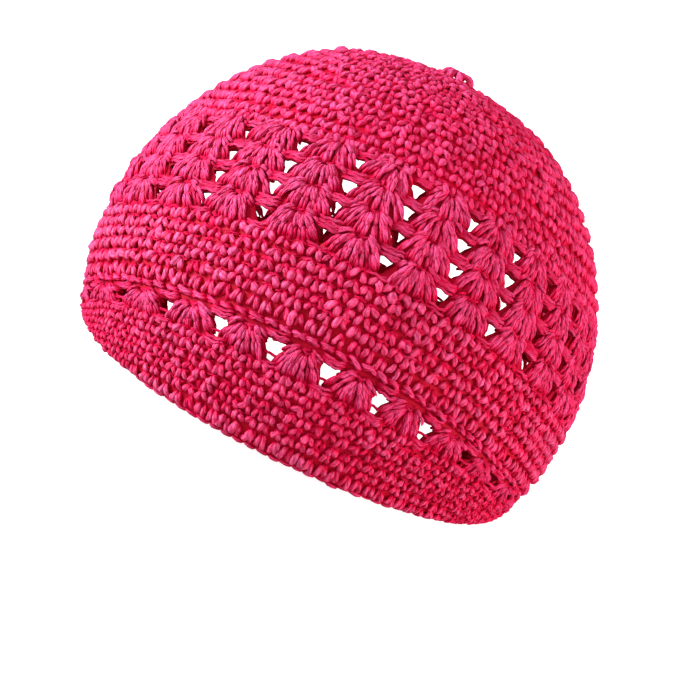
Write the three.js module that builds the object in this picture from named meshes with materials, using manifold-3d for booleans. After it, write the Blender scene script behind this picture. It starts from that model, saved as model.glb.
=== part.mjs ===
// A crocheted cotton hat standing on its rim, in millimetres. +Z is up, the front faces -Y and the origin
// is on the surface that it stands on, under the middle of the dome.
// The hat is worked from the crown down. A place on the cloth is given by `down`, the distance from the
// crown's centre along the cloth, and `turn`, the angle round the hat, which is 0 at the front.
import * as THREE from 'three';
import { mergeVertices } from 'three/addons/utils/BufferGeometryUtils.js';
import Module from 'manifold-3d';

const wasm = await Module();
wasm.setup();

// The cloth
const wall = 3;
const seam = 0.3; // clearance between neighbouring pieces
const fans = 24; // columns of lace fans round the hat
const fanAngle = (2 * Math.PI) / fans;
const firstFanTurn = THREE.MathUtils.degToRad(4);
const facetsPerFan = 2;
const facetsRound = facetsPerFan * fans;
const facetAngle = fanAngle / facetsPerFan;
const heart = new THREE.Vector3(0, 0, 50); // a point well inside the hat
const sameCorner = 1e-3; // corners nearer than this are one

// The dome, from the top of the crown down to the foot, where the cloth turns onto the surface
const footRadius = 7;
const footCentre = 84.6;
const footSlope = THREE.MathUtils.degToRad(17);
const tuckEnd = 30; // how near to the axis the cloth may lie on the surface
const outlineDivisions = 400;
// At the back the rim is off the surface and the brim is folded up inside
const foldStart = { radius: 92.15, height: 8.2 };
const foldRadius = 4.2;
const foldSlope = THREE.MathUtils.degToRad(16.4);
const foldedUp = [
  { radius: 85.9, height: 17.2 },
  { radius: 88.9, height: 28.2 },
  { radius: 90.6, height: 42.5 },
];
const foldBegins = THREE.MathUtils.degToRad(112);
const foldFull = THREE.MathUtils.degToRad(134);
const domeStations = [
  { radius: 0, height: 144.5 },
  { radius: 20, height: 142.6 },
  { radius: 40, height: 137.2 },
  { radius: 57, height: 127.1 },
  { radius: 71.3, height: 113.8 },
  { radius: 83, height: 97.5 },
  { radius: 91.6, height: 79.1 },
  { radius: 96.8, height: 59.4 },
  { radius: 98.2, height: 42.5 },
  { radius: 97, height: 26 },
  { radius: 93.8, height: 13.5 },
];

// How the cloth sits on the dome: it is pushed back, so that the crown's centre is behind the top, and it
// hangs lower at the sides
const pushedBack = 15.4;
const sideSag = 25.6;
const sagRoundness = 0.28; // how much of the sag is kept for the very sides
const sagStarts = 30;
const sagEnds = 100;
// The brim gathers between the ridge and the foot, and what is left over is turned under
const brimStarts = 166.5;
const brimEnds = 219.8;
const turnedUnder = 22;
const underStarts = THREE.MathUtils.degToRad(35);
const underEnds = THREE.MathUtils.degToRad(110);
// The columns of stitches crowd together at some sides: by a once-round share and a twice-round share, each
// with its change for every `crowdStep` of cloth, and they lean to one side by a steady drift
const crowdOnce = { share: -0.134, change: -0.025 };
const crowdTwice = { share: 0.052, change: -0.054 };
const crowdMiddle = 120;
const crowdStep = 40;
const crowdReach = { above: -0.6, below: 1.4 };
const drift = 0.082;

// The pieces, as bands of the cloth from the crown down
const bands = [
  { name: 'crown', from: 0, to: 92.6, steps: 9, proud: 0 },
  { name: 'lace_band', from: 92.6, to: 136.4, steps: 4, proud: 0 },
  { name: 'side_band', from: 136.4, to: 164.8, steps: 3, proud: 0 },
  { name: 'ridge_braid', from: 164.8, to: 168.2, steps: 1, proud: 0.5 },
  { name: 'brim_lace', from: 168.2, to: 183.6, steps: 3, proud: 0 },
  { name: 'brim', from: 183.6, to: 216, steps: 7, proud: 0 },
  { name: 'brim_edge', from: 216, to: brimEnds, steps: 1, proud: 0 },
];

// The lace gaps, each a triangle that stands on its point
const gapRows = [
  { band: 'lace_band', down: 98.1, width: 7, height: 6.4 },
  { band: 'lace_band', down: 108.6, width: 7, height: 6.4 },
  { band: 'lace_band', down: 119.1, width: 7, height: 6.4 },
  { band: 'lace_band', down: 130.1, width: 7.4, height: 6.4 },
  { band: 'brim_lace', down: 176, width: 8, height: 6.8 },
];

const punchReach = 1.8; // the punch's length in walls

// The knot that closes the crown, a lumpy button over the first stitches
const knotRadius = 6.5;
const knotHeight = 2.6;
const knotLumps = 6;
const knotLumpDepth = 0.07;
const knotSides = 20;
const knotRings = [
  { share: 0, height: knotHeight },
  { share: 0.5, height: 0.86 * knotHeight },
  { share: 0.85, height: 0.5 * knotHeight },
  { share: 1, height: 0 },
  { share: 0, height: 0 },
];

const yarn = new THREE.MeshStandardMaterial({ color: 0xd8285c, roughness: 0.9, metalness: 0 });

const stationPoint = (station) => new THREE.Vector2(station.radius, station.height);

// The dome's outline from the top down to a last point above the surface
function domeOutline(lastPoint) {
  const dome = domeStations.map(stationPoint);
  const outline = new THREE.Path();
  outline.moveTo(dome[0].x, dome[0].y);
  outline.splineThru([...dome.slice(1), lastPoint]);
  outline.arcLengthDivisions = outlineDivisions;
  return outline;
}

// Where the cloth rests, it turns in along the surface
function restingOutline() {
  const footX = footCentre + footRadius * Math.cos(footSlope);
  const footY = footRadius * (1 - Math.sin(footSlope));
  const outline = domeOutline(new THREE.Vector2(footX, footY));
  outline.absarc(footCentre, footRadius, footRadius, -footSlope, -Math.PI / 2, true);
  outline.lineTo(tuckEnd, 0);
  return outline;
}

// Where it is folded up inside, it turns right round above the surface
function foldedOutline() {
  const centreX = foldStart.radius - foldRadius * Math.cos(foldSlope);
  const centreY = foldStart.height + foldRadius * Math.sin(foldSlope);
  const outline = domeOutline(stationPoint(foldStart));
  outline.absarc(centreX, centreY, foldRadius, -foldSlope, -Math.PI - foldSlope, true);
  outline.splineThru(foldedUp.map(stationPoint));
  return outline;
}

const resting = restingOutline();
const folded = foldedOutline();
const foldLength = domeOutline(stationPoint(foldStart)).getLength();

// The angle on the dome at which a stitch column stands
function columnAngle(down, turn) {
  const steps = (down - crowdMiddle) / crowdStep;
  const step = THREE.MathUtils.clamp(steps, crowdReach.above, crowdReach.below);
  const once = crowdOnce.share + crowdOnce.change * step;
  const twice = crowdTwice.share + crowdTwice.change * step;
  return turn + once * Math.sin(turn) + twice * Math.sin(2 * turn) - drift * (1 - Math.cos(turn));
}

// How far from the crown's centre a round of the cloth lies at an angle
function roundReach(down, angle) {
  const sideways = Math.sin(angle) ** 2;
  const sagShare = sideways * (1 - sagRoundness + sagRoundness * sideways);
  const sag = sideSag * sagShare * THREE.MathUtils.smoothstep(down, sagStarts, sagEnds);
  const awayFromFront = Math.abs(THREE.MathUtils.euclideanModulo(angle + Math.PI, 2 * Math.PI) - Math.PI);
  const under = turnedUnder * THREE.MathUtils.smoothstep(awayFromFront, underStarts, underEnds);
  const brimShare = THREE.MathUtils.clamp((down - brimStarts) / (brimEnds - brimStarts), 0, 1);
  return down + sag - brimShare * (pushedBack * (1 - Math.cos(angle)) + sag - under);
}

// The place and the outward direction on the dome's skin under a point of the cloth
function onDome(down, turn) {
  const angle = columnAngle(down, turn);
  const reach = roundReach(down, angle);
  const across = reach * Math.sin(angle);
  const back = pushedBack - reach * Math.cos(angle);
  const length = Math.hypot(across, back);
  const azimuth = Math.atan2(across, -back);
  const foldShare = THREE.MathUtils.smoothstep(Math.abs(azimuth), foldBegins, foldFull);
  const alongResting = Math.min(length / resting.getLength(), 1);
  const alongFolded = Math.min(length / folded.getLength(), 1);
  const place = resting.getPointAt(alongResting).lerp(folded.getPointAt(alongFolded), foldShare);
  const tangent = resting.getTangentAt(alongResting).lerp(folded.getTangentAt(alongFolded), foldShare);
  const outX = -tangent.y * Math.sin(azimuth);
  const outY = tangent.y * Math.cos(azimuth);
  return {
    point: new THREE.Vector3(place.x * Math.sin(azimuth), -place.x * Math.cos(azimuth), place.y),
    outward: new THREE.Vector3(outX, outY, tangent.x).normalize(),
    inFold: foldShare > 0 && length > foldLength,
  };
}

// A closed mesh from shared corners, without the faces that shrink to a line at the crown's centre
function closedGeometry(corners, triangles) {
  const loose = new THREE.BufferGeometry();
  loose.setAttribute('position', new THREE.Float32BufferAttribute(corners.flatMap((c) => c.toArray()), 3));
  loose.setIndex(triangles.flat());
  const merged = mergeVertices(loose, sameCorner);
  const index = [...merged.index.array];
  const kept = [];
  for (let i = 0; i < index.length; i += 3) {
    const [a, b, c] = index.slice(i, i + 3);
    if (a !== b && b !== c && c !== a) kept.push(a, b, c);
  }
  merged.setIndex(kept);
  return merged;
}

// One band of the cloth, a ring with an outer skin, an inner skin and two narrow edges
function bandGeometry(band) {
  const first = band.from === 0 ? 0 : band.from + seam / 2;
  const last = band.to - seam / 2;
  const corners = [];
  for (const depth of [band.proud, -wall]) {
    for (let row = 0; row <= band.steps; row++) {
      const down = first + ((last - first) * row) / band.steps;
      for (let facet = 0; facet < facetsRound; facet++) {
        const skin = onDome(down, firstFanTurn + (facet + 0.5) * facetAngle);
        corners.push(skin.point.addScaledVector(skin.outward, depth));
      }
    }
  }
  const skinSize = (band.steps + 1) * facetsRound;
  const corner = (side, row, facet) => side * skinSize + row * facetsRound + (facet % facetsRound);
  const midReach = (a, b) => corners[a].clone().add(corners[b]).multiplyScalar(0.5).distanceTo(heart);
  const triangles = [];
  const face = (a, b, c, d) => triangles.push([a, b, c], [a, c, d]);
  for (let facet = 0; facet < facetsRound; facet++) {
    const next = facet + 1;
    for (let row = 0; row < band.steps; row++) {
      const square = [[row, facet], [row + 1, facet], [row + 1, next], [row, next]];
      const outer = square.map(([r, f]) => corner(0, r, f));
      const inner = square.map(([r, f]) => corner(1, r, f)).reverse();
      // The cloth is folded along the diagonal that stands further out, which leaves no dents
      if (midReach(outer[0], outer[2]) > midReach(outer[1], outer[3])) {
        face(...outer);
        face(inner[1], inner[2], inner[3], inner[0]);
      } else {
        face(outer[1], outer[2], outer[3], outer[0]);
        face(...inner);
      }
    }
    // Both edges are split along the same diagonal, so that a band lies true against the next one
    const end = band.steps;
    face(corner(0, 0, facet), corner(0, 0, next), corner(1, 0, next), corner(1, 0, facet));
    face(corner(1, end, next), corner(0, end, next), corner(0, end, facet), corner(1, end, facet));
  }
  return closedGeometry(corners, triangles);
}

function solidOf(geometry) {
  const bare = geometry.clone();
  bare.deleteAttribute('normal');
  bare.deleteAttribute('uv');
  const merged = mergeVertices(bare, sameCorner);
  const vertProperties = new Float32Array(merged.attributes.position.array);
  const triVerts = new Uint32Array(merged.index.array);
  return new wasm.Manifold(new wasm.Mesh({ numProp: 3, vertProperties, triVerts }));
}

function geometryOf(solid) {
  const mesh = solid.getMesh();
  const geometry = new THREE.BufferGeometry();
  geometry.setAttribute('position', new THREE.BufferAttribute(mesh.vertProperties, 3));
  geometry.setIndex(new THREE.BufferAttribute(mesh.triVerts, 1));
  return geometry;
}

// A three-sided punch for one lace gap, standing square to the cloth
function gapPunch(row, turn) {
  const outlineOfGap = new THREE.Shape();
  outlineOfGap.moveTo(-row.width / 2, row.height / 2);
  outlineOfGap.lineTo(0, -row.height / 2);
  outlineOfGap.lineTo(row.width / 2, row.height / 2);
  outlineOfGap.closePath();
  const depth = punchReach * wall;
  const punch = new THREE.ExtrudeGeometry(outlineOfGap, { depth, bevelEnabled: false });
  punch.translate(0, 0, -depth / 2);
  const middle = onDome(row.down, turn);
  const below = onDome(row.down + 1, turn).point;
  const up = middle.point.clone().sub(below).normalize();
  const across = new THREE.Vector3().crossVectors(up, middle.outward).normalize();
  const frame = new THREE.Matrix4().makeBasis(across, up, middle.outward);
  frame.setPosition(middle.point.addScaledVector(middle.outward, -wall / 2));
  return solidOf(punch.applyMatrix4(frame));
}

function clothBand(band) {
  const plain = bandGeometry(band);
  const rows = gapRows.filter((row) => row.band === band.name);
  if (rows.length === 0) return plain;
  let cloth = solidOf(plain);
  for (const row of rows) {
    for (let fan = 0; fan < fans; fan++) {
      const turn = firstFanTurn + fan * fanAngle;
      // A gap that lies in the fold is closed up by it
      if (onDome(row.down + row.height / 2, turn).inFold) continue;
      cloth = cloth.subtract(gapPunch(row, turn));
    }
  }
  return geometryOf(cloth);
}

// A flat-bottomed dome of lumps, like a ring of stitches drawn tight
function knotGeometry() {
  const corners = [];
  for (const ring of knotRings) {
    for (let side = 0; side < knotSides; side++) {
      const angle = (2 * Math.PI * side) / knotSides;
      const radius = knotRadius * ring.share * (1 + knotLumpDepth * Math.cos(knotLumps * angle));
      corners.push(new THREE.Vector3(radius * Math.cos(angle), radius * Math.sin(angle), ring.height));
    }
  }
  const triangles = [];
  for (let ring = 0; ring < knotRings.length - 1; ring++) {
    for (let side = 0; side < knotSides; side++) {
      const [a, b] = [side, (side + 1) % knotSides].map((s) => ring * knotSides + s);
      triangles.push([a, a + knotSides, b + knotSides], [a, b + knotSides, b]);
    }
  }
  return closedGeometry(corners, triangles);
}

function yarnMesh(name, geometry) {
  geometry.computeVertexNormals();
  const mesh = new THREE.Mesh(geometry, yarn.clone());
  mesh.name = name;
  return mesh;
}

const hat = new THREE.Group();
for (const band of bands) {
  hat.add(yarnMesh(band.name, clothBand(band)));
}

const crownCentre = onDome(0, 0);
const knot = yarnMesh('crown_knot', knotGeometry());
knot.quaternion.setFromUnitVectors(new THREE.Vector3(0, 0, 1), crownCentre.outward);
knot.position.copy(crownCentre.point).addScaledVector(crownCentre.outward, seam);
hat.add(knot);

export default hat;
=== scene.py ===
import math
import bpy
import numpy as np
from mathutils import Matrix, Vector


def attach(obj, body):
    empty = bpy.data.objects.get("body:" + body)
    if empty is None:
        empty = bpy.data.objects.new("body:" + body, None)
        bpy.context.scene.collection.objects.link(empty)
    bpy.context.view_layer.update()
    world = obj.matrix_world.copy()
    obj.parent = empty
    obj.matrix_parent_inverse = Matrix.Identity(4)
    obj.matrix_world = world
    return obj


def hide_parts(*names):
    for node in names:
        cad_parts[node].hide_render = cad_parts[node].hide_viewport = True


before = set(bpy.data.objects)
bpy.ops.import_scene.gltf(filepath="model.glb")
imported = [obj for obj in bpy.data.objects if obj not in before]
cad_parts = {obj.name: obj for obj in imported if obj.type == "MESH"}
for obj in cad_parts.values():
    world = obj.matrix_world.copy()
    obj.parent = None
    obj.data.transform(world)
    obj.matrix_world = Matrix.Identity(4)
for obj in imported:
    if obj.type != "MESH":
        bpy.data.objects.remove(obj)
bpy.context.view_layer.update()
chance = np.random.default_rng(24)
print("stage: frame loaded")

# The cloth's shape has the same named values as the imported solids, in millimetres.
dome = {
    "stations": [(0, 144.5), (20, 142.6), (40, 137.2), (57, 127.1), (71.3, 113.8), (83, 97.5),
                 (91.6, 79.1), (96.8, 59.4), (98.2, 42.5), (97, 26), (93.8, 13.5)],
    "footRadius": 7,
    "footCentre": 84.6,
    "footSlope": math.radians(17),
    "tuckEnd": 30,
    "foldStart": (92.15, 8.2),
    "foldRadius": 4.2,
    "foldSlope": math.radians(16.4),
    "foldedUp": [(85.9, 17.2), (88.9, 28.2), (90.6, 42.5)],
    "foldBegins": math.radians(112),
    "foldFull": math.radians(134),
}
cloth = {
    "pushedBack": 15.4,
    "sideSag": 25.6,
    "sagRoundness": 0.28,
    "sagStarts": 30,
    "sagEnds": 100,
    "brimStarts": 166.5,
    "brimEnds": 219.8,
    "turnedUnder": 22,
    "underStarts": math.radians(35),
    "underEnds": math.radians(110),
    "crowdOnce": (-0.134, -0.025),
    "crowdTwice": (0.052, -0.054),
    "crowdMiddle": 120,
    "crowdStep": 40,
    "crowdReach": (-0.6, 1.4),
    "drift": 0.082,
}
fans = 24
fanAngle = 2 * math.pi / fans
firstFanTurn = math.radians(4)
stitchesRound = 96  # four to each fan
outlinePoints = 60  # to each stretch of the dome's outline
tablePlaces = 1600  # in an outline's table
tiny = 1e-6  # a length under this counts as nothing
millimetresInMetre = 1000


# A smooth line through a few points, as a matrix product, so that thousands are done at once
def smoothLine(points, count):
    points = np.asarray(points, float)
    last = points.shape[-2] - 1
    t = np.linspace(0, last, count)
    i = np.minimum(t.astype(int), last - 1)
    f = t - i
    weights = np.zeros((count, last + 1))
    basis = [-0.5 * f + f ** 2 - 0.5 * f ** 3, 1 - 2.5 * f ** 2 + 1.5 * f ** 3,
             0.5 * f + 2 * f ** 2 - 1.5 * f ** 3, -0.5 * f ** 2 + 0.5 * f ** 3]
    for offset, share in zip((-1, 0, 1, 2), basis):
        np.add.at(weights, (np.arange(count), np.clip(i + offset, 0, last)), share)
    return np.einsum("cp,...pk->...ck", weights, points)


def stationLine(stations):
    return smoothLine(stations, outlinePoints * (len(stations) - 1) + 1)


def arcPoints(centre, radius, start, end):
    bend = np.linspace(start, end, outlinePoints)
    return np.column_stack([centre[0] + radius * np.cos(bend), centre[1] + radius * np.sin(bend)])


# Places and directions at even lengths along an outline
def evenTable(points):
    steps = np.linalg.norm(np.diff(points, axis=0), axis=1)
    points = points[np.concatenate([[True], steps > tiny])]
    length = np.concatenate([[0], np.cumsum(np.linalg.norm(np.diff(points, axis=0), axis=1))])
    even = np.linspace(0, length[-1], tablePlaces)
    evenPoints = np.column_stack([np.interp(even, length, points[:, k]) for k in range(2)])
    tangent = np.gradient(evenPoints, axis=0)
    tangent /= np.linalg.norm(tangent, axis=1, keepdims=True)
    return {"length": even, "point": evenPoints, "tangent": tangent}


# Where the cloth rests, it turns in along the surface.
def restingOutline():
    slope, centre, radius = dome["footSlope"], dome["footCentre"], dome["footRadius"]
    foot = (centre + radius * math.cos(slope), radius * (1 - math.sin(slope)))
    bend = arcPoints((centre, radius), radius, -slope, -math.pi / 2)
    return evenTable(np.vstack([stationLine(dome["stations"] + [foot]), bend, [[dome["tuckEnd"], 0]]]))


# At the back the rim is off the surface and the brim is folded up inside.
def foldedOutline():
    slope, radius, start = dome["foldSlope"], dome["foldRadius"], dome["foldStart"]
    centre = (start[0] - radius * math.cos(slope), start[1] + radius * math.sin(slope))
    bend = arcPoints(centre, radius, -slope, -math.pi - slope)
    up = stationLine([tuple(bend[-1])] + dome["foldedUp"])
    return evenTable(np.vstack([stationLine(dome["stations"] + [start]), bend, up]))


resting = restingOutline()
folded = foldedOutline()


def smoothstep(x, low, high):
    t = np.clip((x - low) / (high - low), 0, 1)
    return t * t * (3 - 2 * t)


def unit(v):
    return v / np.maximum(np.linalg.norm(v, axis=-1, keepdims=True), tiny)


# A place on the cloth: down = how far it is from the crown's centre along the cloth, turn = the angle
# round the hat, 0 at the front, height = how far it stands out of the smooth cloth. It returns the point
# and the direction that is out of the cloth there.
def onDome(down, turn, height=0.0):
    down, turn, height = np.broadcast_arrays(np.asarray(down, float), turn, height)
    step = np.clip((down - cloth["crowdMiddle"]) / cloth["crowdStep"], *cloth["crowdReach"])
    once = cloth["crowdOnce"][0] + cloth["crowdOnce"][1] * step
    twice = cloth["crowdTwice"][0] + cloth["crowdTwice"][1] * step
    angle = turn + once * np.sin(turn) + twice * np.sin(2 * turn) - cloth["drift"] * (1 - np.cos(turn))
    sideways = np.sin(angle) ** 2
    sagShare = sideways * (1 - cloth["sagRoundness"] + cloth["sagRoundness"] * sideways)
    sag = cloth["sideSag"] * sagShare * smoothstep(down, cloth["sagStarts"], cloth["sagEnds"])
    fromFront = np.abs(np.mod(angle + math.pi, 2 * math.pi) - math.pi)
    under = cloth["turnedUnder"] * smoothstep(fromFront, cloth["underStarts"], cloth["underEnds"])
    brimShare = np.clip((down - cloth["brimStarts"]) / (cloth["brimEnds"] - cloth["brimStarts"]), 0, 1)
    reach = down + sag - brimShare * (cloth["pushedBack"] * (1 - np.cos(angle)) + sag - under)
    across = reach * np.sin(angle)
    back = cloth["pushedBack"] - reach * np.cos(angle)
    along = np.maximum(np.hypot(across, back), tiny)
    east, south = across / along, back / along
    fold = smoothstep(np.abs(np.arctan2(across, -back)), dome["foldBegins"], dome["foldFull"])

    def placed(key, axis):
        lying = np.interp(along, resting["length"], resting[key][:, axis])
        risen = np.interp(along, folded["length"], folded[key][:, axis])
        return lying + (risen - lying) * fold

    radius, rise = placed("point", 0), placed("point", 1)
    tangentR, tangentZ = placed("tangent", 0), placed("tangent", 1)
    out = unit(np.stack([-tangentZ * east, -tangentZ * south, tangentR], -1))
    point = np.stack([radius * east, radius * south, rise], -1)
    return point + out * height[..., None], out


# Yarn is laid on the cloth as smooth lines that are swept to tubes.
yarn = {
    "sides": 6,
    "backing": -2.1,  # mm, height of the ground under the stitches
    "endShare": 0.5,  # how thin a strand gets at its ends
    "sink": 0.42,  # mm that all stitches lie in the cloth's thickness
    "flat": 0.66,  # height against width, because the yarn is pressed flat as it is worked
    "thinnest": 0.72,  # where the cells are small or large, the yarn's thickness follows within these
    "thickest": 1.12,
    "runStarts": 20,  # mm within which the plies of each strand start
}


# Adds strands to a piece; down, turn and height are arrays of strands by points.
def addStrands(bag, down, turn, height, radius, sides=yarn["sides"], flat=1.0):
    height = np.asarray(height, float) - yarn["sink"]
    line, out = onDome(down, turn, height)
    count, points = line.shape[:2]
    radius = np.broadcast_to(radius, (count, points)).copy()
    radius[:, 0] *= yarn["endShare"]
    radius[:, -1] *= yarn["endShare"]
    tangent = unit(np.gradient(line, axis=1))
    side = np.empty_like(line)
    side[:, 0] = unit(np.cross(tangent[:, 0], out[:, 0]) + tiny)
    for k in range(1, points):
        turned = side[:, k - 1] - (side[:, k - 1] * tangent[:, k]).sum(-1, keepdims=True) * tangent[:, k]
        side[:, k] = unit(turned)
    other = np.cross(tangent, side)
    angle = 2 * math.pi * np.arange(sides) / sides
    spoke = side[:, :, None] * np.cos(angle)[:, None] + other[:, :, None] * np.sin(angle)[:, None]
    outward = radius[:, :, None] * (spoke * out[:, :, None]).sum(-1)
    pressed = out[:, :, None] * outward[..., None] * (1 - flat)
    ring = line[:, :, None] + radius[:, :, None, None] * spoke - pressed
    rise = np.broadcast_to(height, (count, points))[..., None] + outward * flat
    steps = np.cumsum(np.linalg.norm(np.diff(line, axis=1), axis=2), axis=1)
    runStart = chance.uniform(0, yarn["runStarts"], (count, 1))
    length = np.concatenate([np.zeros((count, 1)), steps], 1) + runStart
    strand = np.arange(count)[:, None, None] * points * sides
    row = np.arange(points - 1)[None, :, None] * sides
    here = np.arange(sides)[None, None, :]
    there = (here + 1) % sides
    quads = np.stack([strand + row + here, strand + row + there,
                      strand + row + sides + there, strand + row + sides + here], -1).reshape(-1, 4)
    u0 = np.broadcast_to(here / sides, (count, points - 1, sides))
    u1 = u0 + 1 / sides
    v0 = np.broadcast_to(length[:, :-1, None], u0.shape)
    v1 = np.broadcast_to(length[:, 1:, None], u0.shape)
    quadUv = np.stack([np.stack([u0, v0], -1), np.stack([u1, v0], -1),
                       np.stack([u1, v1], -1), np.stack([u0, v1], -1)], -2).reshape(-1, 2)
    first = np.arange(count)[:, None] * points * sides
    last = first + (points - 1) * sides
    bag.append({
        "co": ring.reshape(-1, 3),
        "rise": rise.reshape(-1),
        "tint": np.repeat(chance.uniform(0, 1, count), points * sides),
        "quads": quads,
        "quadUv": quadUv,
        "caps": np.concatenate([first + np.arange(sides)[::-1], last + np.arange(sides)]),
    })


def meshPiece(name, co, faces, uvs, rise, tint, material):
    mesh = bpy.data.meshes.new(name)
    mesh.vertices.add(len(co))
    metres = np.asarray(co) / millimetresInMetre
    mesh.vertices.foreach_set("co", metres.astype(np.float32).ravel())
    sizes = np.concatenate([np.full(len(f), f.shape[1]) for f in faces])
    corners = np.concatenate([f.ravel() for f in faces]).astype(np.int32)
    mesh.loops.add(len(corners))
    mesh.loops.foreach_set("vertex_index", corners)
    mesh.polygons.add(len(sizes))
    starts = np.concatenate([[0], np.cumsum(sizes)[:-1]]).astype(np.int32)
    mesh.polygons.foreach_set("loop_start", starts)
    mesh.update(calc_edges=True)
    mesh.uv_layers.new(name="yarnRun").data.foreach_set("uv", uvs.astype(np.float32).ravel())
    for key, values in (("rise", rise), ("tint", tint)):
        mesh.attributes.new(key, "FLOAT", "POINT").data.foreach_set("value", values.astype(np.float32))
    mesh.polygons.foreach_set("use_smooth", np.ones(len(sizes), bool))
    mesh.validate()
    mesh.materials.append(material)
    piece = bpy.data.objects.new(name, mesh)
    bpy.context.scene.collection.objects.link(piece)
    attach(piece, "root")
    print("piece", name, int((sizes - 2).sum()), "triangles")
    return piece


def yarnPiece(name, bag, node, material):
    starts = np.concatenate([[0], np.cumsum([len(b["co"]) for b in bag])])
    faces = [b["quads"] + s for b, s in zip(bag, starts)] + [b["caps"] + s for b, s in zip(bag, starts)]
    capUv = [np.zeros((b["caps"].size, 2)) for b in bag]
    uvs = np.concatenate([b["quadUv"] for b in bag] + capUv)
    co, rise, tint = (np.concatenate([b[key] for b in bag]) for key in ("co", "rise", "tint"))
    piece = meshPiece(name, co, faces, uvs, rise, tint, material)
    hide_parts(node)


# How large a cell of the cloth really is against its usual size; the yarn's thickness follows it.
def cellFit(down, turn, cellHeight, cellAngle, usual):
    wide = onDome(down, turn + cellAngle / 2)[0] - onDome(down, turn - cellAngle / 2)[0]
    high = onDome(down + cellHeight / 2, turn)[0] - onDome(down - cellHeight / 2, turn)[0]
    area = np.linalg.norm(wide, axis=-1) * np.linalg.norm(high, axis=-1)
    return np.clip(np.sqrt(area / (usual[0] * usual[1])), yarn["thinnest"], yarn["thickest"])


def linear(hexColour):
    parts = [int(hexColour[i:i + 2], 16) / 255 for i in (1, 3, 5)]
    return tuple(c / 12.92 if c <= 0.04045 else ((c + 0.055) / 1.055) ** 2.4 for c in parts) + (1.0,)


# Adds a node; sockets are given by name or number, each with a value or with the output that feeds it.
def addNode(tree, kind, settings, sockets):
    node = tree.nodes.new(kind)
    for key, value in settings.items():
        setattr(node, key, value)
    for key, value in sockets.items():
        if isinstance(value, bpy.types.NodeSocket):
            tree.links.new(value, node.inputs[key])
        else:
            node.inputs[key].default_value = value
    return node


# Plied cotton yarn, mercerised, dyed raspberry and nearly matte. The tops of the stitches, the crests of
# the plies and the tufts are painted paler and pinker, a painted highlight; the valleys between the
# stitches and the ply grooves are painted dark crimson, a painted shade for the light thrown from red to
# red. The plies show as fine slanting grooves. Ramps are (from, to) or (from, to, result at the first, at
# the second).
cottonYarn = {
    # Painted highlight for the tops, the yarn's own colour, then painted shade for the valleys and for the
    # ply grooves
    "top": "#FF5C98",
    "body": "#EC004C",
    "valleyShade": "#D40030",
    "grooveShade": "#C8002C",
    "valleyShadeEnds": (-2.6, -1.3, 0.0, 1.0),  # mm out of the smooth cloth where the painted shade of the valleys ends
    "insideShadeEnds": (-3.3, -4.5, 0.0, 0.8),  # the same on the wrong side
    # painted highlight on the tops of the stitches: by height, on a ply's crest and on tufts
    "highlightFrom": (-1.35, -0.2, 0.0, 1.0),
    "highlightOnPly": (0.2, 0.9, 0.6, 1.0),
    "highlightOnFluff": (0.32, 0.64, 0.3, 1.0),
    # painted shade in a ply's groove
    "grooveShadeOnPly": (0.1, 0.7, 0.75, 0.0),
    "plies": 4,  # that show round a strand
    "plyRun": 4.0,  # mm along the yarn from one ply to the next
    "fibre": (0.9, 2.0),  # mm and detail; coarser than a real fibre, which a pixel couldn't show
    "fluff": (1.6, 3.0),  # tufts, where the highlight is painted
    "patch": (17, 2.0),  # where the dye took a little more or less
    "grainRoughness": 0.55,
    "darkest": 0.55,
    "unevenness": 0.26,
    "fibreHeight": 0.6,  # against a ply's
    "bump": 0.65,
    "bumpDepth": 0.0005,
    "roughness": 0.62,
    "sheen": 0.07,
    "sheenRoughness": 0.45,
    "sheenColour": "#FF5A8C",
    "specular": 0.12,
}


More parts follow.
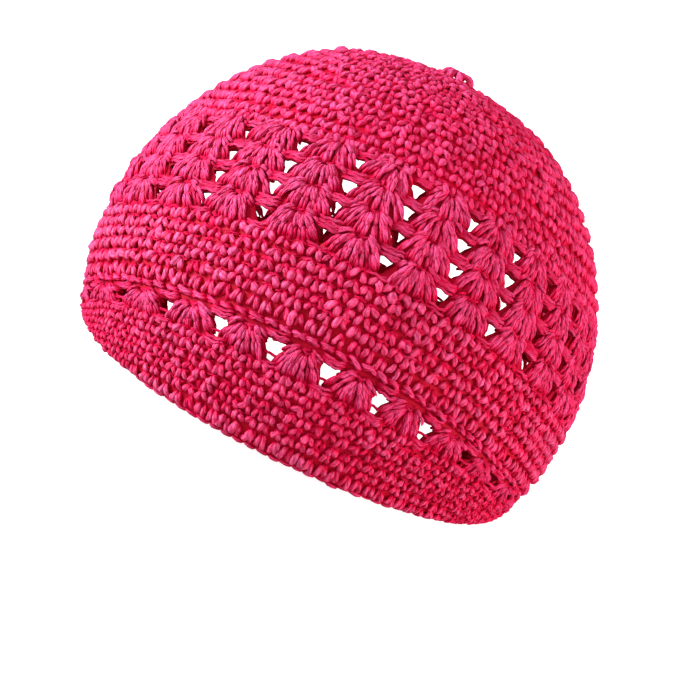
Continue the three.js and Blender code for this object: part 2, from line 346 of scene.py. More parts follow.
def cottonMaterial(name, settings):
    material = bpy.data.materials.new(name)
    material.use_nodes = True
    tree = material.node_tree
    tree.nodes.clear()

    def maths(operation, *values):
        node = addNode(tree, "ShaderNodeMath", {"operation": operation}, dict(enumerate(values)))
        return node.outputs[0]

    def ramp(value, low, high, start, end):
        sockets = {"Value": value, "From Min": low, "From Max": high, "To Min": start, "To Max": end}
        return addNode(tree, "ShaderNodeMapRange", {}, sockets).outputs["Result"]

    def blend(share, first, second):
        sockets = {0: share, 6: first, 7: second}
        return addNode(tree, "ShaderNodeMix", {"data_type": "RGBA"}, sockets).outputs[2]

    def noise(size, detail):
        sockets = {"Vector": place, "Scale": millimetresInMetre / size, "Detail": detail,
                   "Roughness": settings["grainRoughness"]}
        return addNode(tree, "ShaderNodeTexNoise", {}, sockets).outputs[0]

    rise = addNode(tree, "ShaderNodeAttribute", {"attribute_name": "rise"}, {}).outputs["Fac"]
    tint = addNode(tree, "ShaderNodeAttribute", {"attribute_name": "tint"}, {}).outputs["Fac"]
    run = addNode(tree, "ShaderNodeUVMap", {"uv_map": "yarnRun"}, {}).outputs[0]
    place = addNode(tree, "ShaderNodeTexCoord", {}, {}).outputs["Object"]
    split = addNode(tree, "ShaderNodeSeparateXYZ", {}, {0: run}).outputs
    fibre = noise(*settings["fibre"])
    patch = noise(*settings["patch"])
    fluff = noise(*settings["fluff"])
    phase = maths("ADD", maths("MULTIPLY", split[0], settings["plies"]),
                  maths("MULTIPLY", split[1], 1 / settings["plyRun"]))
    ply = maths("ABSOLUTE", maths("SINE", maths("MULTIPLY", phase, math.pi)))
    # painted shade: dark crimson in the valleys, by height out of the cloth
    unshaded = maths("MAXIMUM", ramp(rise, *settings["valleyShadeEnds"]), ramp(rise, *settings["insideShadeEnds"]))
    body = blend(unshaded, linear(settings["valleyShade"]), linear(settings["body"]))
    # painted shade in the ply grooves
    grooveShaded = blend(ramp(ply, *settings["grooveShadeOnPly"]), body, linear(settings["grooveShade"]))
    # painted highlight: paler pink on the stitch tops, the ply crests and the tufts
    highlight = maths("MULTIPLY", ramp(ply, *settings["highlightOnPly"]), ramp(fluff, *settings["highlightOnFluff"]))
    highlight = maths("MULTIPLY", ramp(rise, *settings["highlightFrom"]), highlight)
    shade = blend(highlight, grooveShaded, linear(settings["top"]))
    uneven = maths("ADD", tint, maths("ADD", patch, fibre))
    value = maths("MULTIPLY_ADD", uneven, settings["unevenness"], settings["darkest"])
    colour = addNode(tree, "ShaderNodeHueSaturation", {}, {"Value": value, "Color": shade}).outputs[0]
    height = maths("MULTIPLY_ADD", fibre, settings["fibreHeight"], ply)
    bump = addNode(tree, "ShaderNodeBump", {}, {"Height": height, "Strength": settings["bump"],
                                               "Distance": settings["bumpDepth"]}).outputs[0]
    shader = addNode(tree, "ShaderNodeBsdfPrincipled", {}, {
        "Base Color": colour,
        "Normal": bump,
        "Roughness": settings["roughness"],
        "Sheen Weight": settings["sheen"],
        "Sheen Roughness": settings["sheenRoughness"],
        "Sheen Tint": linear(settings["sheenColour"]),
        "Specular IOR Level": settings["specular"],
    })
    addNode(tree, "ShaderNodeOutputMaterial", {}, {"Surface": shader.outputs[0]})
    return material


cotton = cottonMaterial("cotton_plied_matte_raspberry", cottonYarn)
# On the side and the brim the tops of the stitches get a paler painted sheen.
sheenPaintedCotton = cottonMaterial("cotton_plied_matte_painted_sheen", dict(cottonYarn, top="#FF6AA0"))

# How unevenly the hand works, as shares where no unit is given
hand = {
    "turn": 0.03,  # of a stitch's width
    "slant": 0.2,  # of a stitch's width from one round to the next
    "sway": 0.35,  # mm that a round goes up and down
    "sways": 3,  # times round the hat
    "down": 0.16,  # mm
    "size": 0.08,
    "lift": 0.14,  # mm that a stitch stands out more or less
    "lineLift": 0.15,  # mm that each of its lines does
    "flatBend": 0.6,  # a line bends less out of the cloth than along it
    "thickness": 0.08,
}

# A plain stitch shows two short fat legs, which lean apart downwards because the round is worked from
# the crown down, and a slack loop low in the valley beside them. On the wrong side it shows one level
# bar. Lines are (right, up, height) in millimetres.
plainStitch = {
    "width": 6.1,
    "height": 4.63,
    "lines": [
        {"path": [(-0.5, 1.8, -2.1), (-0.95, 1.1, -1.1), (-1.45, 0.1, -0.75), (-1.9, -0.85, -1.05),
                  (-2.2, -1.6, -2.1)], "points": 6, "radius": 1.27},
        {"path": [(0.4, 1.75, -2.2), (0.85, 1.05, -1.15), (1.45, 0.05, -0.8), (2.05, -0.8, -1.1),
                  (2.4, -1.5, -2.2)], "points": 6, "radius": 1.22},
        {"path": [(-2.9, 3.0, -2.3), (-1.5, 1.9, -1.8), (0.1, 2.9, -1.7), (1.6, 1.9, -1.8),
                  (3.1, 2.8, -2.3)], "points": 7, "radius": 0.95, "sides": 4},
    ],
    "wrongSide": [
        {"path": [(-2.7, 0.5, -2.9), (-1.2, 0.9, -3.4), (0.8, 0.3, -3.5), (2.9, -0.5, -2.9)],
         "points": 5, "radius": 0.85, "sides": 4},
    ],
    "stray": 0.18,  # mm
    "bend": 0.24,  # mm
    "strayTurn": 0.16,  # radians
    "swell": (0.85, 1.08),  # thickness at a leg's ends and middle
    "lumps": 0.14,
}
# In the crown the stitches are fuller and more even, and lie so close that the cloth is nearly flat.
crownStitch = dict(plainStitch, swell=(0.92, 1.12), width=5.9, lumps=0.1)
# A long stitch shows two long legs, slimmer than a plain one's, with a slack one low between them.
longStitch = {
    "width": 6.1,
    "height": 5.6,
    "lines": [
        {"path": [(-0.7, 2.5, -2.3), (-1.05, 1.5, -1.05), (-1.5, 0.1, -0.75), (-1.85, -1.3, -1.05),
                  (-2.2, -2.3, -2.3)], "points": 7, "radius": 1.08},
        {"path": [(0.7, 2.5, -2.3), (1.05, 1.4, -1.1), (1.45, 0.0, -0.75), (1.9, -1.4, -1.1),
                  (2.3, -2.4, -2.3)], "points": 7, "radius": 1.04},
        {"path": [(-0.6, 2.4, -2.2), (0.3, 1.2, -1.45), (0.2, -0.8, -1.5), (-0.2, -2.0, -2.2)],
         "points": 5, "radius": 0.75, "sides": 4},
    ],
    "wrongSide": plainStitch["wrongSide"],
    "stray": 0.26,
    "bend": 0.26,
    "strayTurn": 0.14,
    "swell": (0.88, 1.05),
    "lumps": 0.13,
}
# The ridge and the rim are ropes of slanting links, each tucked under the next.
ridgeLinks = {
    "width": 6.1,
    "height": 3.4,
    "lines": [
        {"path": [(-3.4, 0.65, -2.0), (-1.8, 0.8, -0.75), (0.4, 0.15, -0.4), (2.2, -0.65, -0.8),
                  (3.2, -0.7, -2.1)], "points": 8, "radius": 0.85},
        {"path": [(-2.9, -0.8, -1.9), (-1.2, -0.5, -1.05), (0.9, 0.4, -1.05), (2.7, 0.85, -2.0)],
         "points": 7, "radius": 0.75},
    ],
    "wrongSide": [],
    "stray": 0.16,
    "bend": 0.15,
    "strayTurn": 0.08,
    "swell": (0.85, 1.08),
    "lumps": 0.06,
}
edgeLinks = {
    "width": 6.1,
    "height": 3.8,
    "lines": [
        {"path": [(-3.3, 0.5, -2.2), (-1.7, 1.25, -0.8), (0.5, 1.1, -0.5), (2.3, 0.3, -0.9),
                  (3.2, 0.0, -2.2)], "points": 8, "radius": 1.15},
        {"path": [(-3.3, -0.3, -2.4), (-1.7, -1.1, -1.4), (0.5, -1.25, -1.1), (2.3, -0.5, -1.2),
                  (3.2, 0.1, -2.4)], "points": 8, "radius": 1.15},
    ],
    "wrongSide": [],
    "stray": 0.16,
    "bend": 0.15,
    "strayTurn": 0.07,
    "swell": (0.85, 1.08),
    "lumps": 0.06,
}


def stitchRound(bag, row, settings):
    count, height = row["count"], row["height"]
    angle = 2 * math.pi / count
    usual = (settings["width"], settings["height"])
    turn = row["start"] + angle * (np.arange(count) + chance.normal(0, hand["turn"], count))
    sway = hand["sway"] * np.sin(hand["sways"] * turn + row["down"])
    down = row["down"] + sway + chance.normal(0, hand["down"], count)
    fit = cellFit(down, turn, height, angle, usual)[:, None]
    spin = chance.normal(0, settings["strayTurn"], (count, 1))
    grow = chance.normal(1, hand["size"], (count, 1))
    lift = chance.normal(0, hand["lift"], (count, 1))
    for line in settings["lines"] + settings["wrongSide"]:
        knots = np.array(line["path"])
        bend = chance.normal(0, settings["bend"], (count,) + knots.shape) * (1, 1, hand["flatBend"])
        path = smoothLine(knots + bend, line["points"])
        x = path[..., 0] + chance.normal(0, settings["stray"], (count, 1))
        y = path[..., 1] + chance.normal(0, settings["stray"], (count, 1))
        right = (x * np.cos(spin) - y * np.sin(spin)) * grow
        up = (x * np.sin(spin) + y * np.cos(spin)) * grow
        z = path[..., 2] + lift + chance.normal(0, hand["lineLift"], (count, 1))
        z = yarn["backing"] + (z - yarn["backing"]) * fit
        middle = np.sin(math.pi * np.linspace(0, 1, line["points"]))
        swell = settings["swell"][0] + (settings["swell"][1] - settings["swell"][0]) * middle
        thick = line["radius"] * fit * chance.normal(1, hand["thickness"], (count, 1)) * swell
        thick = thick * chance.normal(1, settings["lumps"], thick.shape)
        addStrands(bag, down[:, None] - up * height / usual[1], turn[:, None] + right * angle / usual[0],
                   z, thick, line.get("sides", yarn["sides"]), yarn["flat"])


# Rounds between two places of the cloth; the first is shifted back by a share of a stitch.
def evenRounds(band):
    height = (band["to"] - band["from"]) / band["rounds"]
    angle = 2 * math.pi / stitchesRound
    return [{"down": band["from"] + (k + 0.5) * height, "height": height, "count": stitchesRound,
             "start": firstFanTurn - (k * hand["slant"] + band["shift"]) * angle}
            for k in range(band["rounds"])]


# A fan is worked into one point: steep posts that hang down to the next fan, and nearly level ones that
# arch over the gaps at its sides. Each post is made of short slips of yarn. Lines are (right, down) and
# share is how thick a post is.
fanShape = {
    "width": 24.4,
    "fitLength": 10,  # mm of cloth by which the yarn's thickness is fitted
    "posts": [
        {"path": [(-2.3, 0.2), (-5.2, 3.0), (-8.2, 6.8), (-10.2, 11.2)], "share": 1},
        {"path": [(-1.8, 0.7), (-4.0, 3.9), (-6.2, 7.9), (-7.8, 12.3)], "share": 0.95},
        {"path": [(-1.1, 1.0), (-2.3, 4.3), (-3.6, 8.3), (-4.4, 12.6)], "share": 1},
        {"path": [(-0.4, 1.2), (-0.8, 4.5), (-1.3, 8.3), (-1.5, 12.0)], "share": 1.05},
        {"path": [(0.4, 1.2), (0.8, 4.5), (1.2, 8.3), (1.4, 12.2)], "share": 0.95},
        {"path": [(1.1, 1.0), (2.4, 4.2), (3.7, 8.2), (4.5, 12.6)], "share": 1.05},
        {"path": [(1.8, 0.7), (4.0, 3.8), (6.2, 7.8), (7.9, 12.2)], "share": 0.95},
        {"path": [(2.3, 0.2), (5.3, 2.9), (8.3, 6.6), (10.3, 11.0)], "share": 1},
        {"path": [(-2.1, -0.6), (-4.6, 0.2), (-7.0, 1.7), (-9.2, 3.6)], "share": 0.85},
        {"path": [(2.1, -0.7), (4.6, 0.1), (7.0, 1.5), (9.3, 3.4)], "share": 0.85},
    ],
    "heights": [-1.1, -0.65, -0.75, -2.3],  # of a post's points
    "linePoints": 25,
    # The slips of a post: from and to along it as shares, from and to across it in millimetres
    "slips": [(0.0, 0.55, -0.5, -0.2), (0.05, 0.62, 0.5, 0.3), (0.36, 0.94, -0.2, -0.8),
              (0.48, 1.0, 0.75, 0.2)],
    "points": 5,
    "sides": 5,
    "radius": 0.78,
    "endShare": 0.6,  # a slip's thickness at its ends, as a share of the radius
    "middleShare": 1.1,
    "flat": 0.85,
    "arch": 0.55,  # mm that a slip bulges out, about its usual height
    "archSink": 0.6,
    "stray": 0.18,  # mm
    "endStray": 0.5,
    "rootShare": 0.3,  # how much of the ends' stray the root has
    "strayAcross": 0.25,
    "strayAlong": 0.04,  # of a post's length
    "strayHeight": 0.35,
    "postLift": 0.15,
    "strayTurn": 0.08,
    "size": 0.06,
    "thickness": 0.1,
    "wrongSide": {"height": -3.3, "radius": 0.9, "points": 5, "sides": 4},
}


def fanRound(bag, apex):
    turn = firstFanTurn + fanAngle * (np.arange(fans) + 0.5)
    length = fanShape["fitLength"]
    fit = cellFit(np.full(fans, apex + length / 2), turn, length, fanAngle, (fanShape["width"], length))
    fit = fit[:, None]
    angleOfMillimetre = fanAngle / fanShape["width"]
    spin = chance.normal(0, fanShape["strayTurn"], (fans, 1))
    grow = chance.normal(1, fanShape["size"], (fans, 1))
    lastStep = fanShape["linePoints"] - 1
    share = np.linspace(0, 1, fanShape["points"])
    bulge = np.sin(math.pi * share)
    swell = fanShape["endShare"] + (fanShape["middleShare"] - fanShape["endShare"]) * bulge
    which = np.arange(fans)[:, None]
    for post in fanShape["posts"]:
        path = np.array(post["path"], float)
        knots = len(path)
        reach = np.linspace(fanShape["rootShare"], 1, knots)
        x = (path[:, 0] * np.cos(spin) + path[:, 1] * np.sin(spin)) * grow
        y = path[:, 1] * np.cos(spin) - path[:, 0] * np.sin(spin)
        x = x + chance.normal(0, fanShape["endStray"], (fans, 1)) * reach
        x = x + chance.normal(0, fanShape["stray"], (fans, knots))
        y = y + chance.normal(0, fanShape["endStray"], (fans, 1)) * reach
        y = y + chance.normal(0, fanShape["stray"], (fans, knots))
        z = np.array(fanShape["heights"]) + chance.normal(0, fanShape["postLift"], (fans, 1))
        line = smoothLine(np.stack([x, y, z], -1), fanShape["linePoints"])
        step = np.gradient(line, axis=1)[..., :2]
        across = np.stack([-step[..., 1], step[..., 0]], -1)
        across /= np.linalg.norm(across, axis=-1, keepdims=True)
        for start, end, fromSide, toSide in fanShape["slips"]:
            shift = chance.normal(0, fanShape["strayAlong"], (fans, 1))
            along = np.clip(start + (end - start) * share + shift, 0, 1) * lastStep
            near = np.minimum(along.astype(int), lastStep - 1)
            part = (along - near)[..., None]
            middle = line[which, near] * (1 - part) + line[which, near + 1] * part
            side = fromSide + (toSide - fromSide) * share
            side = side + chance.normal(0, fanShape["strayAcross"], (fans, 1))
            slipX = middle[..., 0] + across[which, near, 0] * side
            slipY = middle[..., 1] + across[which, near, 1] * side
            slipZ = middle[..., 2] + fanShape["arch"] * (bulge - fanShape["archSink"])
            slipZ = slipZ + chance.normal(0, fanShape["strayHeight"], (fans, 1))
            slipZ = yarn["backing"] + (slipZ - yarn["backing"]) * fit
            thick = fanShape["radius"] * post["share"] * fit
            thick = thick * chance.normal(1, fanShape["thickness"], (fans, 1)) * swell
            addStrands(bag, apex + slipY, turn[:, None] + slipX * angleOfMillimetre, slipZ, thick,
                       fanShape["sides"], fanShape["flat"])
        behind = fanShape["wrongSide"]
        back = smoothLine(np.stack([x, y], -1), behind["points"])
        addStrands(bag, apex + back[..., 1], turn[:, None] + back[..., 0] * angleOfMillimetre,
                   np.full(back.shape[:2], behind["height"]), behind["radius"], behind["sides"])


# Wavy bars, the slack chain of the round above, that cross the cloth between one gap and the next. Each
# is two strands, one above the other. The line is (right, up, height).
barShape = {
    "path": [(-5.2, 0.6, -2.2), (-2.8, 0.0, -1.0), (-0.6, 0.4, -0.75), (1.6, -0.1, -0.8),
             (3.6, 0.4, -1.1), (5.2, 0.1, -2.2)],
    "points": 9,
    "sides": 5,
    "radius": 0.58,
    "apart": 0.9,
    "waveRun": 7,  # radians of wave along a bar
    "waveStarts": 2,  # radians
    "wave": 0.3,  # mm up and down
    "weave": 0.25,  # mm out and in
    "strayAlong": 0.4,
    "strayAcross": 0.25,
    "strayHeight": 0.2,
}
bothStrands = (-1, 1)


def barRound(bag, down, lower, strands=bothStrands, offset=0.0, spread=1.0):
    turn = firstFanTurn + fanAngle * (np.arange(fans) + offset)
    path = smoothLine(barShape["path"], barShape["points"])
    run = np.linspace(0, barShape["waveRun"], barShape["points"])
    for which in strands:
        wave = np.sin(run + which + chance.uniform(0, barShape["waveStarts"], (fans, 1)))
        x = path[:, 0] * spread + chance.normal(0, barShape["strayAlong"] * spread, (fans, 1))
        y = path[:, 1] + which * barShape["apart"] / 2 + barShape["wave"] * wave
        y = y + chance.normal(0, barShape["strayAcross"], (fans, 1))
        z = path[:, 2] + barShape["weave"] * which * wave - lower
        z = z + chance.normal(0, barShape["strayHeight"], (fans, 1))
        addStrands(bag, down - y, turn[:, None] + x * fanAngle / fanShape["width"], z,
                   barShape["radius"], barShape["sides"])


# The bars of a row of fans, as (how far below the gaps' middle, how much lower in the cloth)
laceBars = [(-4.1, 0), (-5.3, 0), (4.2, 0.1)]
brimBars = [(-5.2, 0), (-6.6, 0.1), (5.4, 0.1), (6.8, 0.3)]
brimSlack = [(2.0, 0.6)]  # one strand that crosses the gap and leaves a small one under it
apexBar = {"below": 0.6, "lower": 0.7, "offset": 0.5, "spread": 0.6}  # ties the fan in at its point

# The ground is the cloth behind the stitches, a thin sheet with the lace gaps left open. In the crown,
# which is worked tighter, the valleys are shallower, and at the rim it comes up to the chain.
ground = {
    "outer": -2.45,
    "inner": -3.1,
    "sheets": [
        {"from": 0.5, "to": 92.6, "rows": 30, "outer": -2.0},
        {"from": 136.4, "to": 168.2, "rows": 12, "outer": -2.45},
        {"from": 183.6, "to": 214, "rows": 18, "outer": -2.45},
        {"from": 213.5, "to": 219.6, "rows": 6, "outer": -1.7},
    ],
    "columns": 96,
    "frontGap": 1.0,  # size of the gaps, as a share
    "backGap": 1.5,
    "ringShare": 0.55,  # where a cell's middle ring of points lies between the hole and the edge
    "stray": 0.3,  # mm that a hole's points are off
    "rise": -2.9,  # mm, the height that gives its colour, the painted shade of the valleys
    "tint": 0.3,  # a little darker than the yarn, whose strands lie between 0 and 1: more painted shade
}
# A gap's outline as shares of its width and height, and a cell's of half the cell
brimGapOutline = [(-0.5, 0.42), (-0.17, 0.5), (0.17, 0.46), (0.5, 0.5), (0.4, 0.18), (0.24, -0.06),
                  (0.17, -0.3), (0.1, -0.56), (-0.14, -0.54), (-0.2, -0.28), (-0.4, 0.16)]
gapOutline = [(-0.5, 0.42), (-0.17, 0.5), (0.17, 0.46), (0.5, 0.5), (0.38, 0.18), (0.2, -0.08),
              (0.09, -0.32), (-0.02, -0.5), (-0.11, -0.28), (-0.24, -0.02), (-0.4, 0.2)]
cellOutline = [(-1, 1), (-0.33, 1), (0.33, 1), (1, 1), (1, 0.3), (1, -0.3), (1, -1), (0, -1), (-1, -1),
               (-1, -0.3), (-1, 0.3)]
laceRows = [
    {"down": 98.1, "width": 8.2, "height": 6.8, "top": 92.6, "bottom": 103.35, "apex": 91.0},
    {"down": 108.6, "width": 8.2, "height": 6.8, "top": 103.35, "bottom": 113.85, "apex": 101.5},
    {"down": 119.1, "width": 8.2, "height": 6.8, "top": 113.85, "bottom": 124.6, "apex": 112.0},
    {"down": 130.1, "width": 8.6, "height": 7.0, "top": 124.6, "bottom": 136.4, "apex": 123.6},
]
brimRow = {"down": 176, "width": 9.6, "height": 8, "top": 168.2, "bottom": 183.6, "apex": 170.4}


def gridSheet(sheet):
    rows, columns = sheet["rows"], ground["columns"]
    downs = np.linspace(sheet["from"], sheet["to"], rows + 1)
    turns = firstFanTurn + 2 * math.pi * np.arange(columns) / columns
    down, turn = np.meshgrid(downs, turns, indexing="ij")
    skins = [onDome(down, turn, height)[0].reshape(-1, 3) for height in (sheet["outer"], ground["inner"])]
    row, column = np.meshgrid(np.arange(rows), np.arange(columns), indexing="ij")
    here, there = row * columns + column, row * columns + (column + 1) % columns
    quads = np.stack([here, here + columns, there + columns, there], -1).reshape(-1, 4)
    size = (rows + 1) * columns
    faces = [quads, quads[:, ::-1] + size]
    around = np.arange(columns)
    for edge in (0, rows):
        here, there = edge * columns + around, edge * columns + (around + 1) % columns
        rim = np.stack([here, there, size + there, size + here], -1)
        faces.append(rim if edge == 0 else rim[:, ::-1])
    return np.concatenate(skins), np.concatenate(faces)


# One row of the ground's fan cells, each with a ragged three-cornered hole: three rings of points go
# from the hole to the cell's edge.
def holedCells(row, outline):
    hole = np.array(outline) * (row["width"], row["height"])
    halfWidth, above, below = fanShape["width"] / 2, row["down"] - row["top"], row["bottom"] - row["down"]
    edge = np.array([(x * halfWidth, y * (above if y > 0 else below)) for x, y in cellOutline])
    turn = firstFanTurn + fanAngle * np.arange(fans)
    facing = np.abs(np.mod(turn + math.pi, 2 * math.pi) - math.pi) < math.pi / 2
    size = np.where(facing, ground["frontGap"], ground["backGap"])[:, None, None]
    count = len(hole)
    ragged = hole * size + chance.normal(0, ground["stray"], (fans, count, 2))
    between = ragged * (1 - ground["ringShare"]) + edge * ground["ringShare"]
    points = np.stack([ragged, between, np.broadcast_to(edge, ragged.shape)], 1)
    down = row["down"] - points[..., 1]
    angle = turn[:, None, None] + points[..., 0] * fanAngle / fanShape["width"]
    skins = [onDome(down, angle, ground[key])[0] for key in ("outer", "inner")]
    inside = points.shape[1] * count  # from an outer point to the inner one behind it
    base = np.arange(fans)[:, None] * len(skins) * inside
    i = np.arange(count)
    j = (i + 1) % count
    faces = [np.stack([base + i, base + j, base + inside + j, base + inside + i], -1)]
    for a, b in ((0, count), (count, 2 * count)):
        outer = np.stack([base + a + i, base + a + j, base + b + j, base + b + i], -1)
        faces += [outer[..., ::-1], outer + inside]
    return np.stack(skins, 1).reshape(-1, 3), np.concatenate([f.reshape(-1, 4) for f in faces])


def buildGround():
    parts = [gridSheet(sheet) for sheet in ground["sheets"]]
    parts += [holedCells(row, gapOutline) for row in laceRows] + [holedCells(brimRow, brimGapOutline)]
    starts = np.concatenate([[0], np.cumsum([len(co) for co, _ in parts])])
    co = np.concatenate([co for co, _ in parts])
    faces = np.concatenate([faces + start for (_, faces), start in zip(parts, starts)])
    # painted shade: the ground takes the dark valley colour and a darker tone
    meshPiece("cloth_ground", co, [faces], np.zeros((faces.size, 2)), np.full(len(co), ground["rise"]),
              np.full(len(co), ground["tint"]), cotton)


buildGround()
print("stage: ground laid")

# Where the rounds lie, in millimetres down the cloth, and by what share of a stitch they are shifted back
sideBand = {
    "plain": {"from": 135.2, "to": 159.4, "rounds": 5, "shift": 0},
    "long": {"from": 159.4, "to": 165.2, "rounds": 1, "shift": 0.3},
}
ridgeBand = {"from": 164.7, "to": 168.1, "rounds": 1, "shift": -0.2}
brimBand = {
    "plain": {"from": 181.6, "to": 208.4, "rounds": 6, "shift": 0.3},
    "long": {"from": 208.4, "to": 216.3, "rounds": 1, "shift": 0.1},
}
rimBand = {"from": 215.8, "to": 219.6, "rounds": 1, "shift": -0.2}
# The crown grows from a few stitches to the full number; its rounds are two pieces.
crown = {
    "rounds": 20,
    "upperRounds": 15,
    "firstStitches": 6,
    "stitchWidth": 5.7,
    "fullness": 0.985,  # how long a round is against a flat circle's
    "stagger": 0.4,  # radians from one growing round to the next
}
# The knot that closes the crown: a few fat loops drawn tight
knot = {
    "loops": 7,
    "radius": 1.35,
    "points": 8,
    "strayTurn": 0.15,
    "downs": [0.8, 2.4, 4.6, 6.4],
    "turns": [0.0, 0.08, 0.16, 0.2],
    "heights": [0.2, 1.6, 1.5, -1.0],
}


def crownRounds():
    rounds = []
    height = crownStitch["height"]
    for k in range(crown["rounds"]):
        middle = (k + 0.5) * height
        room = round(2 * math.pi * crown["fullness"] * middle / crown["stitchWidth"])
        count = min(stitchesRound, max(crown["firstStitches"], room))
        stagger = crown["stagger"] * k if count < stitchesRound else 0
        start = firstFanTurn - hand["slant"] * k * 2 * math.pi / count + stagger
        rounds.append({"down": middle, "height": height, "count": count, "start": start})
    return rounds


def stitchPiece(name, node, material, work):
    bag = []
    for settings, rounds in work:
        for row in rounds:
            stitchRound(bag, row, settings)
    yarnPiece(name, bag, node, material)


def fanPiece(name, node, rows, bars, slack=()):
    bag = []
    for row in rows:
        fanRound(bag, row["apex"])
        for below, lower in bars:
            barRound(bag, row["down"] + below, lower)
        barRound(bag, row["apex"] + apexBar["below"], apexBar["lower"], bothStrands,
                 apexBar["offset"], apexBar["spread"])
        for below, lower in slack:
            barRound(bag, row["down"] + below, lower, bothStrands[1:])
    yarnPiece(name, bag, node, cotton)


def knotPiece(name, node):
    bag = []
    for k in range(knot["loops"]):
        turn = np.array(knot["turns"]) + 2 * math.pi * k / knot["loops"]
        turn = turn + chance.normal(0, knot["strayTurn"])
        path = smoothLine(np.stack([knot["downs"], turn, knot["heights"]], -1), knot["points"])[None]
        addStrands(bag, path[..., 0], path[..., 1], path[..., 2], knot["radius"])
    yarnPiece(name, bag, node, cotton)


def layYarn():
    rounds, upper = crownRounds(), crown["upperRounds"]
    stitchPiece("crown_upper_rounds", "crown", cotton, [(crownStitch, rounds[:upper])])
    stitchPiece("crown_lower_rounds", "crown", cotton, [(crownStitch, rounds[upper:])])
    fanPiece("lace_upper_fans", "lace_band", laceRows[:2], laceBars)
    fanPiece("lace_lower_fans", "lace_band", laceRows[2:], laceBars)
    stitchPiece("side_rounds", "side_band", sheenPaintedCotton,
                [(plainStitch, evenRounds(sideBand["plain"])), (longStitch, evenRounds(sideBand["long"]))])
    stitchPiece("ridge_rope", "ridge_braid", cotton, [(ridgeLinks, evenRounds(ridgeBand))])
    fanPiece("brim_fans", "brim_lace", [brimRow], brimBars, brimSlack)
    stitchPiece("brim_rounds", "brim", sheenPaintedCotton,
                [(plainStitch, evenRounds(brimBand["plain"])), (longStitch, evenRounds(brimBand["long"]))])
    stitchPiece("brim_edge_rope", "brim_edge", cotton, [(edgeLinks, evenRounds(rimBand))])
    knotPiece("crown_knot_loops", "crown_knot")


layYarn()
print("stage: yarn laid")

# The photographer's camera: a long lens 1.8 m away, rolled so that the hat leans
camera = {
    "position": (-0.00034, -1.77005, 0.38702),
    "aim": (0.0095, -0.00479, 0.0342),
    "roll": 26.5,  # degrees
    "lift": 10.5,  # degrees above the floor
    "lens": 243.6,
    "sensor": 36,
    "sees": (0.1, 50),  # metres, from and to
}


def placeCamera():
    data = bpy.data.cameras.new("camera")
    data.lens = camera["lens"]
    data.sensor_width = camera["sensor"]
    data.clip_start, data.clip_end = camera["sees"]
    eye = bpy.data.objects.new("camera", data)
    bpy.context.scene.collection.objects.link(eye)
    position, aim = Vector(camera["position"]), Vector(camera["aim"])
    roll, lift = math.radians(camera["roll"]), math.radians(camera["lift"])
    up = Vector((-math.sin(roll), math.cos(roll) * math.sin(lift), math.cos(roll) * math.cos(lift)))
    back = (position - aim).normalized()
    right = up.cross(back).normalized()
    turn = Matrix((right, back.cross(right), back)).transposed()
    eye.matrix_world = Matrix.Translation(position) @ turn.to_4x4()
    bpy.context.scene.camera = eye


placeCamera()

# A glowing white board and a white surround, which are seen but throw no light on the hat, an even room
# light, and soft lamps, the strong cool one at the left
stage = {
    "boardRadius": 6,
    "boardCorners": 64,
    "boardHeight": -0.0006,
    "board": {"name": "matte_white_board", "colour": "#F6F6F6", "glow": 0.92},
    "surroundRadius": 7,
    "surroundSegments": 48,
    "surroundRings": 24,
    "surround": {"name": "white_surround", "colour": "#000000", "glow": 1.0},
    "roughness": 0.9,
    "room": 0.62,
    "roomColour": (1.0, 0.8, 0.86),  # the yarn throws its own red back into the shade
    "lampsAim": (0, 0, 0.06),
    "lamps": [
        {"name": "key_left", "at": (-1.8, -0.42, 0.52), "size": 0.8, "watts": 74,
         "colour": (0.68, 1.0, 1.0)},
        {"name": "fill_front", "at": (0.3, -1.9, 0.25), "size": 0.9, "watts": 2,
         "colour": (1.0, 1.0, 1.0)},
        {"name": "rim_right", "at": (1.6, -0.35, 0.22), "size": 0.7, "watts": 27,
         "colour": (1.0, 0.8, 0.88)},
    ],
}


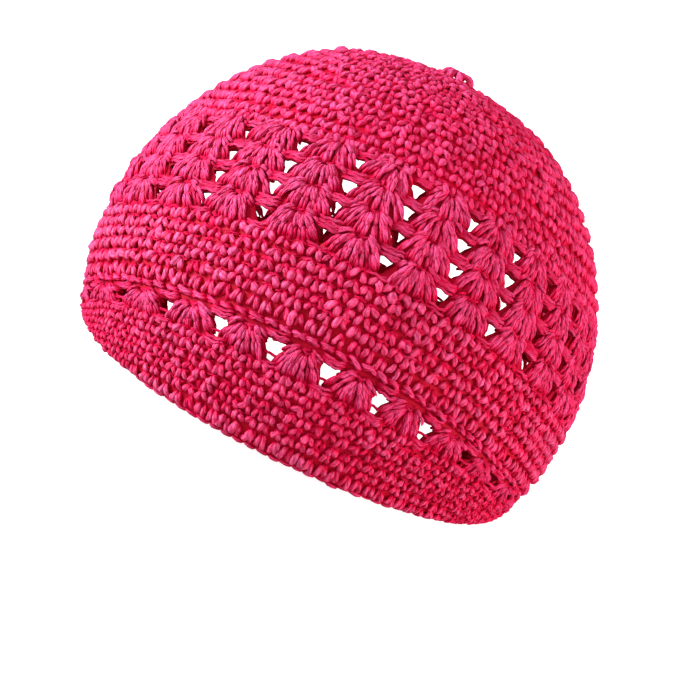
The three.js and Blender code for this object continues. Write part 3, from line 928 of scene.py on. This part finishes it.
def glowingMaterial(settings):
    material = bpy.data.materials.new(settings["name"])
    material.use_nodes = True
    shader = material.node_tree.nodes["Principled BSDF"]
    shader.inputs["Base Color"].default_value = linear(settings["colour"])
    shader.inputs["Roughness"].default_value = stage["roughness"]
    shader.inputs["Specular IOR Level"].default_value = 0.0
    shader.inputs["Emission Color"].default_value = (1, 1, 1, 1)
    shader.inputs["Emission Strength"].default_value = settings["glow"]
    return material


def buildBackdrop():
    radius, height = stage["boardRadius"], stage["boardHeight"]
    turns = np.linspace(0, 2 * math.pi, stage["boardCorners"], endpoint=False)
    corners = [(radius * math.cos(turn), radius * math.sin(turn), height) for turn in turns]
    mesh = bpy.data.meshes.new("floor")
    mesh.from_pydata(corners, [], [tuple(range(len(corners)))])
    mesh.materials.append(glowingMaterial(stage["board"]))
    floor = bpy.data.objects.new("floor", mesh)
    bpy.context.scene.collection.objects.link(floor)
    bpy.ops.mesh.primitive_uv_sphere_add(segments=stage["surroundSegments"],
                                         ring_count=stage["surroundRings"], radius=stage["surroundRadius"])
    surround = bpy.context.object
    surround.name = "surround"
    surround.data.materials.append(glowingMaterial(stage["surround"]))
    for thing in (floor, surround):
        thing.visible_diffuse = False
        thing.visible_glossy = False
    surround.visible_shadow = False


def lightStage():
    world = bpy.context.scene.world or bpy.data.worlds.new("soft_room")
    bpy.context.scene.world = world
    world.use_nodes = True
    background = world.node_tree.nodes["Background"]
    background.inputs[0].default_value = (*stage["roomColour"], 1)
    background.inputs[1].default_value = stage["room"]
    world.cycles_visibility.glossy = False  # so that the yarn shines only from the lamps
    for lamp in stage["lamps"]:
        data = bpy.data.lights.new(lamp["name"], "AREA")
        data.size = lamp["size"]
        data.energy = lamp["watts"]
        data.color = lamp["colour"]
        light = bpy.data.objects.new(lamp["name"], data)
        bpy.context.scene.collection.objects.link(light)
        light.location = lamp["at"]
        aim = Vector(stage["lampsAim"]) - Vector(lamp["at"])
        light.rotation_euler = aim.to_track_quat("-Z", "Y").to_euler()
    bpy.context.scene.view_settings.view_transform = "Standard"
    bpy.context.scene.view_settings.look = "None"


buildBackdrop()
lightStage()
print("stage: camera, floor and lights placed")
